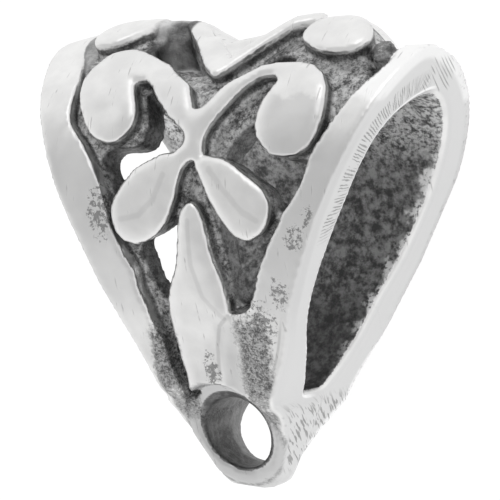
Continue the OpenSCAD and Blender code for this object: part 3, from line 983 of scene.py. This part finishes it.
# %% Pits and grainy strips
PIT_PATCHES = [
    (-3.20, -8.3, 0.55, 1.1), (4.45, -8.2, 0.40, 0.5), (3.85, -8.8, 0.45, 0.5),
    (3.1, -10.6, 0.4, 0.7), (2.3, -11.6, 0.6, 0.9), (0.10, -13.4, 0.35, 0.9),
]
pit_spots = spot(*PIT_PATCHES[0])
for patch in PIT_PATCHES[1:]:
    pit_spots = pit_spots + spot(*patch)
pit_spots = pit_spots.at_most(1.0)
front = side.ramp(-0.10, -0.22) * (1.0 - inside)
pitted = (noise(6.0, 3.0, 0.75) + pit_spots * 0.20).ramp(0.62, 0.71)
pit_mask = pit_spots.ramp(0.0, 0.35) * pitted * front
right_strip = zone(across_way + ragged * 0.5, 1.22, 2.35, 0.16)
right_strip = right_strip * zone(along_way + ragged, -14.3, -11.5, 0.3)
left_strip = zone(across_way + ragged * 0.4, -2.15, -1.05, 0.12)
left_strip = left_strip * zone(along_way + ragged, -14.4, -12.2, 0.3)
grainy = (right_strip + left_strip).at_most(1.0) * front * part_y.ramp(-5.6, -5.1)
print("pit patches:", len(PIT_PATCHES))

# %% [markdown]
# The bright metal isn't one tone. The filed sides are painted a darker grey than the polished front,
# as painted shade, the broken edges get painted highlights as the brightest lines, the ring is
# painted darker as painted shade, and the strip is a little darker.
# The lower part of the right lobe has painted shade, and the rims carry a painted reflection of the
# light tent: bright at the top, grey below it.

# %% Bright metal, with painted highlights and painted shade
is_side = side.ramp(-0.09, -0.03) * (1.0 - inside)
tone = (slow * 0.6 + cloud * 0.4).ramp(0.34, 0.66)
bright = blend(tone, (0.70, 0.698, 0.695, 1.0), (0.79, 0.788, 0.782, 1.0))
# Painted shade: the filed side faces get a darker grey than the polished front.
polished = blend(is_side, bright, grey(0.66))
# Painted highlights: the broken edges of the loop, its front edge and the foot's bevel get a
# near-white grey.
loop_edge_highlight = zone(loop_way, 0.03, 0.10, 0.02) * side.ramp(-0.30, -0.20) * part_z.ramp(4.2, 4.8)
front_edge_highlight = zone(loop_way, 0.15, 0.25, 0.03) * side.ramp(-0.09, -0.03) * part_z.ramp(4.0, 4.8)
painted_edge_highlights = note("bevel").at_least(loop_edge_highlight.at_least(front_edge_highlight))
polished = blend(painted_edge_highlights, polished, grey(0.93))
# Painted shade: the ring round the eye is painted a darker grey.
polished = blend(note("ring"), polished, grey(0.52))
strip_tone = zone(across_way, 0.50, 1.20, 0.10) * along_way.ramp(-11.5, -12.0)
polished = blend(strip_tone * 0.6, polished, grey(0.56))
# Painted shade on the lower part of the right lobe.
lobe_low = zone(along_way + (cloud - 0.5) * 0.5, -6.6, -4.65, 0.08)
lobe_shade = zone(across_way, 2.7, 4.8, 0.35) * lobe_low
polished = blend(lobe_shade * 0.45, polished, grey(0.50))
rim_part = zone(rim_depth, -0.4, 0.4, 0.1) * (across_way.size() - 2.0).ramp(0.0, 0.3)
rim_part = rim_part * note("leaf").ramp(0.02, 0.10)
# Painted reflection of the light tent on the rims: a painted highlight at the top, painted shade
# below.
rim_height = part_y + (cloud - 0.5) * 0.6
rim_painted_highlight = rim_part * rim_height.ramp(4.72, 5.02) * across_way.ramp(0.0, 1.0)
rim_painted_shade = rim_part * rim_height.ramp(4.75, 3.20) * (0.08 + 0.42 * part_y.ramp(-2.5, -1.0))
polished = blend(rim_painted_highlight * 0.6, polished, grey(0.95))
polished = blend(rim_painted_shade, polished, grey(0.55))
paint.tell("bright metal")

# %% [markdown]
# The petals, the spade and the strip have soft fold lines, where the wax was pressed, and a dark
# line runs along the edge of the right rim.
# They are shallow, so painted shade stands in for their shape: along the fold lines, and along the
# crease at the rim's edge.

# %% Painted shade of fold lines and of the rim's edge crease
FOLD_SHADE_LINES = [
    ([(-0.65, -7.05), (-1.00, -7.80), (-1.60, -8.30), (-2.30, -8.45)], 0.14, 0.45),
    ([(1.00, -6.85), (1.55, -7.45), (2.15, -8.05), (2.65, -8.30)], 0.14, 0.45),
    ([(0.20, -8.40), (0.12, -9.80), (0.34, -10.80), (0.90, -11.50)], 0.12, 0.5),
    ([(0.95, -11.55), (0.70, -11.80), (0.46, -12.50), (0.34, -13.40)], 0.09, 0.8),
]
# Painted shade along the fold lines and along the crease at the right rim's edge.
fold_shade = 0.0
for points, width, strength in FOLD_SHADE_LINES:
    fold_shade = fold_shade + drawn(points, width) * strength
fold_shade = fold_shade.at_most(1.0) * (1.0 - is_side)
edge_crease_shade = zone(side, -0.30, -0.22, 0.03) * rim_depth.ramp(-0.3, -0.1)
edge_crease_shade = edge_crease_shade * zone(part_y, -4.3, -1.8, 0.4)
edge_crease_shade = edge_crease_shade * part_z.ramp(5.5, 6.0) * across_way.ramp(0.0, 1.0)
polished = blend(fold_shade.at_least(edge_crease_shade) * 0.45, polished, grey(0.34))

# %% [markdown]
# The stain is mottled, and darkest at the foot of the scrolls' walls, where painted shade is added
# to it.
# In the loop, painted light makes it lighter towards the top and painted shade makes it dark at the
# bottom, and it is worn through to bright patches along the back edge, where a cord slides, which
# painted light brightens further.

# %% Stained metal, with painted shade and painted light
mottle = (cloud * 0.40 + grain * 0.35 + speck * 0.25).ramp(0.38, 0.62)
stained = blend(mottle, grey(0.10), grey(0.62))
# Painted shade at the foot of the scrolls' walls, on top of the stain.
wall_foot_stain_and_shade = zone(depth, 0.14, 0.42, 0.05) * (1.0 - note("hole"))
stained = blend(wall_foot_stain_and_shade * 0.55, stained, grey(0.08))

inner_mottle = noise(3.4, 4.0, 0.65) * 0.6 + noise(1.3, 3.0, 0.6) * 0.2 + grain * 0.2
inner_mottle = inner_mottle.ramp(0.40, 0.62)
inner = blend(inner_mottle, grey(0.10), grey(0.44))
flecks = cloud * 0.4 + grain * 0.6
# Painted light: bright flecks high in the loop.
high_painted_light = part_y.ramp(2.2, 4.4) * part_y.ramp(5.6, 5.1) * flecks.ramp(0.42, 0.58)
inner = blend(high_painted_light * 0.8, inner, grey(0.90))
# Painted shade at the bottom of the loop.
inner = blend(part_y.ramp(-0.6, -2.4) * 0.5, inner, grey(0.08))
# Worn patches along the back edge, brightened with painted light.
rubbed_and_lit = (side + (cloud - 0.5) * 1.6).ramp(-0.45, -0.15) * part_z.ramp(3.2, 2.4)
rubbed_and_lit = rubbed_and_lit * part_y.ramp(3.6, 2.6) * flecks.ramp(0.42, 0.54)
inner = blend(rubbed_and_lit, inner, grey(0.95))
bore_colour = blend(inner_mottle, grey(0.06), grey(0.20))
stained = blend(inside, stained, inner)
stained = blend(note("bore"), stained, bore_colour)
paint.tell("stained metal")

# %% [markdown]
# A few places are set apart: the ground at the left shoulder gets painted light, where the light
# reaches in, the walls of the holes have a darker stain of their own, and the hump is grey on top
# and black below.

# %% Painted light and stain at single places, and the whole colour
# Painted light on the ground at the left shoulder.
shoulder_painted_light = across_way.ramp(-4.9, -5.2) * along_way.ramp(-3.6, -3.0)
stained = blend(shoulder_painted_light * 0.7, stained, grey(0.46))
hole_wall = note("hole") * (1.0 - inside) * depth.ramp(0.45, 0.65)
stained = blend(hole_wall * 0.6, stained, grey(0.10))
hump_tone = cloud * 0.4 + along_way * 0.30 - (across_way + 2.6) * 0.35
hump_colour = blend(hump_tone.ramp(-0.25, 0.25), grey(0.05), grey(0.72))
stained = blend(hump_mask * 0.8, stained, hump_colour)
colour = blend(stain, polished, stained)
colour = blend(pit_mask * 0.85, colour, grey(0.20))
strip_grain = (grain * 0.4 + speck * 0.3 + noise(5.0, 2.0, 0.7) * 0.3).ramp(0.40, 0.62)
colour = blend(grainy * 0.9, colour, blend(strip_grain, grey(0.06), grey(0.48)))
paint.tell("whole colour")

# %% [markdown]
# The side faces were trued up with a file. Its strokes stand round the loop like short hairs,
# so a sine that is quick round the band draws them, and a noise makes them waver and stop.
# At the top the file went the other way, in longer strokes.

# %% File strokes round the loop
waver = stretched(round_way * 4.0, rim_depth * 0.8, 3.0, 2.0)
strokes = (round_way * 55.0 + waver * 12.0 + rim_depth * 3.0).math("SINE").ramp(-0.1, 0.7)
strokes = strokes * stretched(round_way * 5.0, rim_depth, 8.0).ramp(0.38, 0.52)
near_window = zone(loop_way + (cloud - 0.5) * 0.25, 0.32, 0.88, 0.05)
filed = strokes * near_window * is_side * zone(part_y, 0.9, 5.5, 0.4) * part_z.ramp(4.6, 5.2)
top_way = part_y * 0.910 - part_z * 0.414
top_run = part_y * 0.414 + part_z * 0.910
top_lines = (top_way * 60.0 + noise(0.8) * 6.0).math("SINE").ramp(0.2, 0.9)
top_lines = top_lines * stretched(top_way * 8.0, top_run * 0.6, 2.0).ramp(0.46, 0.56)
top_lines = top_lines * is_side * zone(part_z, 3.6, 5.3, 0.2) * zone(part_y, 5.1, 6.1, 0.1)
paint.tell("file strokes")

# %% [markdown]
# On the foot the strokes lean, and they are broken, so a stretched noise draws them alone.
# The polished front has only a few hair lines, and the back edge a few pits.

# %% Strokes on the foot, hair lines and edge pits
foot_way = part_y * 0.785 - part_z * 0.619
foot_run = part_y * 0.619 + part_z * 0.785
slanted = stretched(foot_way * 11.0, foot_run * 1.4, 7.0)
foot_strokes = slanted.ramp(0.53, 0.61) * is_side * zone(part_y, -6.9, -4.7, 0.3)
foot_strokes = foot_strokes * rim_depth.ramp(-0.12, -0.30)
hair_lines = stretched(across_way * 9.0, along_way * 1.0, 5.0).ramp(0.66, 0.72)
hair_lines = hair_lines * cloud.ramp(0.45, 0.6) * (1.0 - stain) * (1.0 - is_side)
edge_pits = is_side * zone(rim_depth, -0.36, -0.04, 0.05) * part_z.ramp(3.4, 2.8)
edge_pits = edge_pits * noise(6.0, 3.0, 0.7).ramp(0.56, 0.64)
marks = filed * 0.8 + top_lines * 0.7 + edge_pits * 0.4 + foot_strokes * 0.85 + hair_lines * 0.45
marks = marks.at_most(1.0)
colour = blend(marks * 0.9, colour, grey(0.20))
paint.tell("other strokes")

# %% [markdown]
# All of it is metal, so the shader stays metallic, and the stain only makes it darker
# and rougher. A faint bump gives the stained skin its grain and the strokes their depth.
# The last two lines hide the part named bail from model.glb and hang the mesh under the root body of
# the shared frame.

# %% The silver's shader
BUMP_STRENGTH, BUMP_DEPTH = 0.55, 0.00006

roughness = 0.30 + stain * 0.28 + grainy * 0.2 + (speck - 0.5) * 0.06
skin_grain = (grain * 0.6 + speck * 0.4) * (stain + grainy * 1.2 + pit_mask)
bump_height = skin_grain + noise(1.6) * 0.35 - marks * 0.5
bump_values = {"Height": bump_height, "Strength": BUMP_STRENGTH, "Distance": BUMP_DEPTH}
bump = paint.add("ShaderNodeBump", None, bump_values)
metal = {"Base Color": colour, "Metallic": 1.0, "Roughness": roughness, "Normal": bump}
shader = paint.add("ShaderNodeBsdfPrincipled", None, metal)
finish_node = silver.node_tree.nodes.new("ShaderNodeOutputMaterial")
silver.node_tree.links.new(shader.socket, finish_node.inputs["Surface"])
paint.tell("the silver")

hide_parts("bail")
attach(bail, "root")

# %% [markdown]
# The photo was taken in a light tent: white all round, on a white ground.
# The ground glows a little by itself, because paper lit from all sides shows no shadow.

# %% White ground
GROUND_SIZE, GROUND_GLOW = 1.2, 0.82

bpy.ops.mesh.primitive_plane_add(size=GROUND_SIZE, location=(0, 0, 0))
ground = bpy.context.object
ground.name = "ground"
paper = bpy.data.materials.new("white_ground")
paper.use_nodes = True
paper_shader = paper.node_tree.nodes["Principled BSDF"]
paper_shader.inputs["Base Color"].default_value = grey(0.28)
paper_shader.inputs["Roughness"].default_value = 0.9
paper_shader.inputs["Emission Color"].default_value = grey(1.0)
paper_shader.inputs["Emission Strength"].default_value = GROUND_GLOW
ground.data.materials.append(paper)
print("white ground of", GROUND_SIZE, "m")

# %% [markdown]
# Polished silver shows what stands round it, so the tent does most of the work:
# it is a little darker overhead, which gives the leaves their soft grey middles.
# One weak, very broad lamp from the side of the ridge brightens the tops.

# %% Light tent and lamp
TENT_DARK, TENT_RISE = 0.74, 0.34

scene = bpy.context.scene
scene.view_settings.view_transform = "Standard"
tent = bpy.data.worlds.new("light_tent")
tent.use_nodes = True
tent_tree = Tree(tent.node_tree)
tent_way = tent_tree.add("ShaderNodeTexCoord", out="Generated")
tent_z = tent_tree.parts(tent_way)[2]
tent_light = TENT_DARK + TENT_RISE * tent_z.ramp(0.80, 0.40)
tent_colour = tent_tree.add("ShaderNodeCombineColor", None, {k: tent_light for k in range(3)})
tent_tree.feed(tent.node_tree.nodes["Background"].inputs["Color"], tent_colour)
scene.world = tent

lamp = bpy.data.lights.new("tent_lamp", "SUN")
lamp.energy = 0.2
lamp.angle = math.radians(40)
lamp_object = bpy.data.objects.new("tent_lamp", lamp)
lamp_object.rotation_mode = "QUATERNION"
lamp_object.rotation_quaternion = Vector((0.15, 0.80, 0.60)).to_track_quat("Z", "Y")
scene.collection.objects.link(lamp_object)
print("light of the tent:", TENT_DARK, "overhead,", TENT_DARK + TENT_RISE, "at the sides")

# %% [markdown]
# The camera keeps the photo's angle to the bail: to the right of its front and a little above.
# It is worked out on the standing bail, and then turned with the bail onto its back.

# %% Camera
AZIMUTH, ELEVATION, DISTANCE = math.radians(33), math.radians(5), 51.2
AIM = Vector((0.0, -0.48, 7.68))
SENSOR_WIDTH, FOCAL_PIXELS, PHOTO_PIXELS = 36.0, 1600, 500

back_way = Vector((
    math.sin(AZIMUTH) * math.cos(ELEVATION),
    -math.cos(AZIMUTH) * math.cos(ELEVATION),
    math.sin(ELEVATION),
))
right_way = Vector((math.cos(AZIMUTH), math.sin(AZIMUTH), 0.0))
up_way = back_way.cross(right_way)


def turned(way):
    """A direction on the standing bail as one in the part's frame."""
    return Vector((way.x, way.z, -way.y))


lens = bpy.data.cameras.new("camera")
lens.sensor_width = SENSOR_WIDTH
lens.lens = SENSOR_WIDTH * FOCAL_PIXELS / PHOTO_PIXELS
lens.clip_start = 0.001
lens.clip_end = 10.0
camera = bpy.data.objects.new("camera", lens)
scene.collection.objects.link(camera)
axes = Matrix((turned(right_way), turned(up_way), turned(back_way))).transposed()
place_of_camera = to_part(AIM + back_way * DISTANCE)
camera.matrix_world = Matrix.Translation(place_of_camera) @ axes.to_4x4()
scene.camera = camera
print("camera at", [round(v / MM, 1) for v in place_of_camera], "mm")
